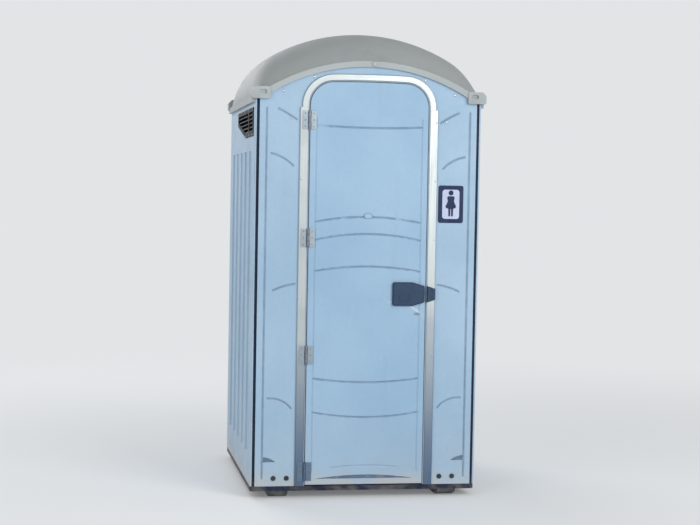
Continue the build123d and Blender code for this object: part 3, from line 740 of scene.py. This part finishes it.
def doorway_edge(inset):
    """Points along the doorway's edge, set in, from the right foot over the top to the left foot.

    A corner arc at each side meets the shallow arc of the crown without a kink.
    """
    half = SURROUND_HALF - SURROUND_WIDTH
    top = SURROUND_TOP - SURROUND_WIDTH
    corner = SURROUND_CORNER - SURROUND_WIDTH
    crown = (half ** 2 + SURROUND_CROWN ** 2) / (2 * SURROUND_CROWN)
    corner_x = half - corner
    rise = math.sqrt((crown - corner) ** 2 - corner_x ** 2)
    meeting = math.atan2(rise, corner_x)
    line = [(half - inset, SEAL_FOOT)]
    line += arc((corner_x, top - crown + rise), corner - inset, 0, meeting, CORNER_STEPS)
    line += arc((0, top - crown), crown - inset, meeting, math.pi / 2, CROWN_STEPS)[1:]
    return line + [(-x, z) for x, z in reversed(line[:-1])]


def add_door_seal():
    """Pale soft seal along the surround's inner edge, which half fills the gap round the door."""
    points = []
    for inset, back in SEAL_SECTION:
        points += [(x, PANEL_FACE + back, z) for x, z in doorway_edge(inset)]
    corners = len(SEAL_SECTION)
    stops = len(points) // corners
    faces = []
    for corner in range(corners):
        here = corner * stops
        beyond = (corner + 1) % corners * stops
        for i in range(stops - 1):
            faces.append((beyond + i, beyond + i + 1, here + i + 1, here + i))
    faces.append(tuple(corner * stops for corner in reversed(range(corners))))
    faces.append(tuple(corner * stops + stops - 1 for corner in range(corners)))
    add_piece("door_seal", points, faces, seal_rubber, "cabin")


def add_hinge_screws():
    """Three screws in each leaf of each hinge, up the leaf's free edge."""
    for body, prefix in (("cabin", "hinge_frame_leaf_"), ("door", "hinge_door_leaf_")):
        places = []
        for number in HINGE_NUMBERS:
            low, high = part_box(prefix + str(number))
            screw_x = low[0] + HINGE_SCREW_INSET if body == "cabin" else high[0] - HINGE_SCREW_INSET
            for step in (-1, 0, 1):
                level = (low[2] + high[2]) / 2 + step * HINGE_SCREW_PITCH
                places.append((screw_x, HINGE_FACE, level))
        domed_heads(
            "hinge_screws_" + body, places, FRONT, SCREW, materials["hinge_steel"],
            body, socket=SOCKET,
        )


def add_vent_screws():
    """Screws round each vent's flange, along its top and along its shorter foot."""
    for side, sign in (("left", -1), ("right", 1)):
        low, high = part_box("vent_" + side)
        outer_x = low[0] if side == "left" else high[0]
        places = []
        for shares, level in (
            (VENT_TOP_SHARES, high[2] - VENT_SCREW_INSET), (VENT_FOOT_SHARES, low[2] + VENT_SCREW_INSET)
        ):
            for share in shares:
                places.append((outer_x, low[1] + share * (high[1] - low[1]), level))
        domed_heads(
            "vent_screws_" + side, places, (sign, 0, 0), SCREW, rivet_metal,
            "cabin", socket=SOCKET,
        )


def add_grip_frame():
    """Raised frame round the finger grip on the latch's outer plate."""
    low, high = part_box("latch_plate")
    middle = (low[0] + GRIP_PLACE[0], (low[2] + high[2]) / 2 + GRIP_PLACE[1])
    inner_size = (GRIP_SIZE[0] - 2 * GRIP_WALL, GRIP_SIZE[1] - 2 * GRIP_WALL)
    outer = rounded_outline(middle, GRIP_SIZE, GRIP_OUTER_CORNER)
    inner = rounded_outline(middle, inner_size, GRIP_INNER_CORNER)
    rings = ((outer, 0), (outer, GRIP_PROUD), (inner, GRIP_PROUD), (inner, 0))
    count = len(outer)
    points = []
    faces = []
    for ring, (outline, depth) in enumerate(rings):
        points += [(x, low[1] - depth, z) for x, z in outline]
        faces += bridge(ring * count, (ring + 1) % len(rings) * count, count)
    add_piece(
        "latch_grip_frame", points, faces, materials["latch_plastic"], "door"
    )


def add_lip_tab():
    """Small tab on the roof's front lip, with its screw."""
    lip_face = PANEL_FACE - LIP_PROUD
    front_slab(
        "lip_tab", rounded_outline(LIP_TAB_MIDDLE, LIP_TAB_SIZE, LIP_TAB_CORNER), lip_face,
        LIP_TAB_THICKNESS, LIP_TAB_EDGE, materials["roof_plastic"], "cabin",
    )
    place = (LIP_TAB_MIDDLE[0], lip_face - LIP_TAB_THICKNESS, LIP_TAB_MIDDLE[1])
    domed_heads(
        "lip_tab_screw", [place], FRONT, TAB_SCREW, rivet_metal, "cabin",
        socket=SOCKET,
    )


def add_floor():
    """Pale round floor that fades into the background."""
    s = Surface("stage_floor")
    distance = s.add("VectorMath", {0: s.place}, operation="LENGTH").outputs[1]
    glow = s.add("Emission", {"Color": BACKGROUND, "Strength": 1.0}).outputs[0]
    s.finish(FLOOR_COLOUR, 0.85)
    fade = s.remap(distance, *FLOOR_FADE, 0.20, 1.0)
    blend = s.add("MixShader", {0: fade, 1: s.shader.outputs[0], 2: glow}).outputs[0]
    s.tree.links.new(blend, s.tree.nodes["Material Output"].inputs["Surface"])
    rim = [(x, y, 0) for x, y in arc((0, 0), FLOOR_RADIUS, 0, 2 * math.pi, FLOOR_STEPS)[:-1]]
    mesh = bpy.data.meshes.new("stage_floor")
    mesh.from_pydata(rim, [], [tuple(range(FLOOR_STEPS))])
    mesh.materials.append(s.material)
    floor = new_object("stage_floor", mesh)


def light_world():
    """Soft light from all round, with the plain background for what the camera sees."""
    world = bpy.data.worlds.new("studio")
    bpy.context.scene.world = world
    world.use_nodes = True
    sky = world.node_tree
    sky.nodes.clear()
    ambient = sky.nodes.new("ShaderNodeBackground")
    ambient.inputs["Color"].default_value = SKY_COLOUR
    ambient.inputs["Strength"].default_value = SKY_STRENGTH
    backdrop = sky.nodes.new("ShaderNodeBackground")
    backdrop.inputs["Color"].default_value = BACKGROUND
    path = sky.nodes.new("ShaderNodeLightPath")
    seen = path.outputs["Is Camera Ray"]
    for other in ("Is Glossy Ray", "Is Transmission Ray"):
        either = sky.nodes.new("ShaderNodeMath")
        either.operation = "MAXIMUM"
        sky.links.new(seen, either.inputs[0])
        sky.links.new(path.outputs[other], either.inputs[1])
        seen = either.outputs[0]
    choose = sky.nodes.new("ShaderNodeMixShader")
    sky.links.new(seen, choose.inputs[0])
    sky.links.new(ambient.outputs[0], choose.inputs[1])
    sky.links.new(backdrop.outputs[0], choose.inputs[2])
    output = sky.nodes.new("ShaderNodeOutputWorld")
    sky.links.new(choose.outputs[0], output.inputs[0])


def aim(thing, place, target, roll=0.0):
    """Put a lamp or camera in its place, with its -Z axis pointing at a target."""
    back = Vector(place) - Vector(target)
    turn = back.to_track_quat("Z", "Y").to_matrix().to_4x4()
    move = Matrix.Translation(Vector(place))
    thing.matrix_world = move @ turn @ Matrix.Rotation(roll, 4, "Z")


def add_lamp(name, place, size, power, colour):
    """A square area lamp aimed at the cabin's middle."""
    lamp = bpy.data.lights.new(name, "AREA")
    lamp.size = size
    lamp.energy = power
    lamp.color = colour
    aim(new_object(name, lamp), place, LAMP_TARGET)


def add_camera():
    """The camera, where the photograph was taken from, turned to face the cabin."""
    data = bpy.data.cameras.new("camera")
    data.lens = CAMERA_LENS
    camera = new_object("camera", data)
    aim(camera, CAMERA_PLACE, CAMERA_TARGET, CAMERA_ROLL)
    bpy.context.scene.camera = camera


add_sign()
add_rivets()
add_door_seal()
add_hinge_screws()
add_vent_screws()
add_grip_frame()
add_lip_tab()
add_floor()
light_world()
for lamp in LAMPS:
    add_lamp(*lamp)
add_camera()
bpy.context.scene.view_settings.view_transform = "Standard"
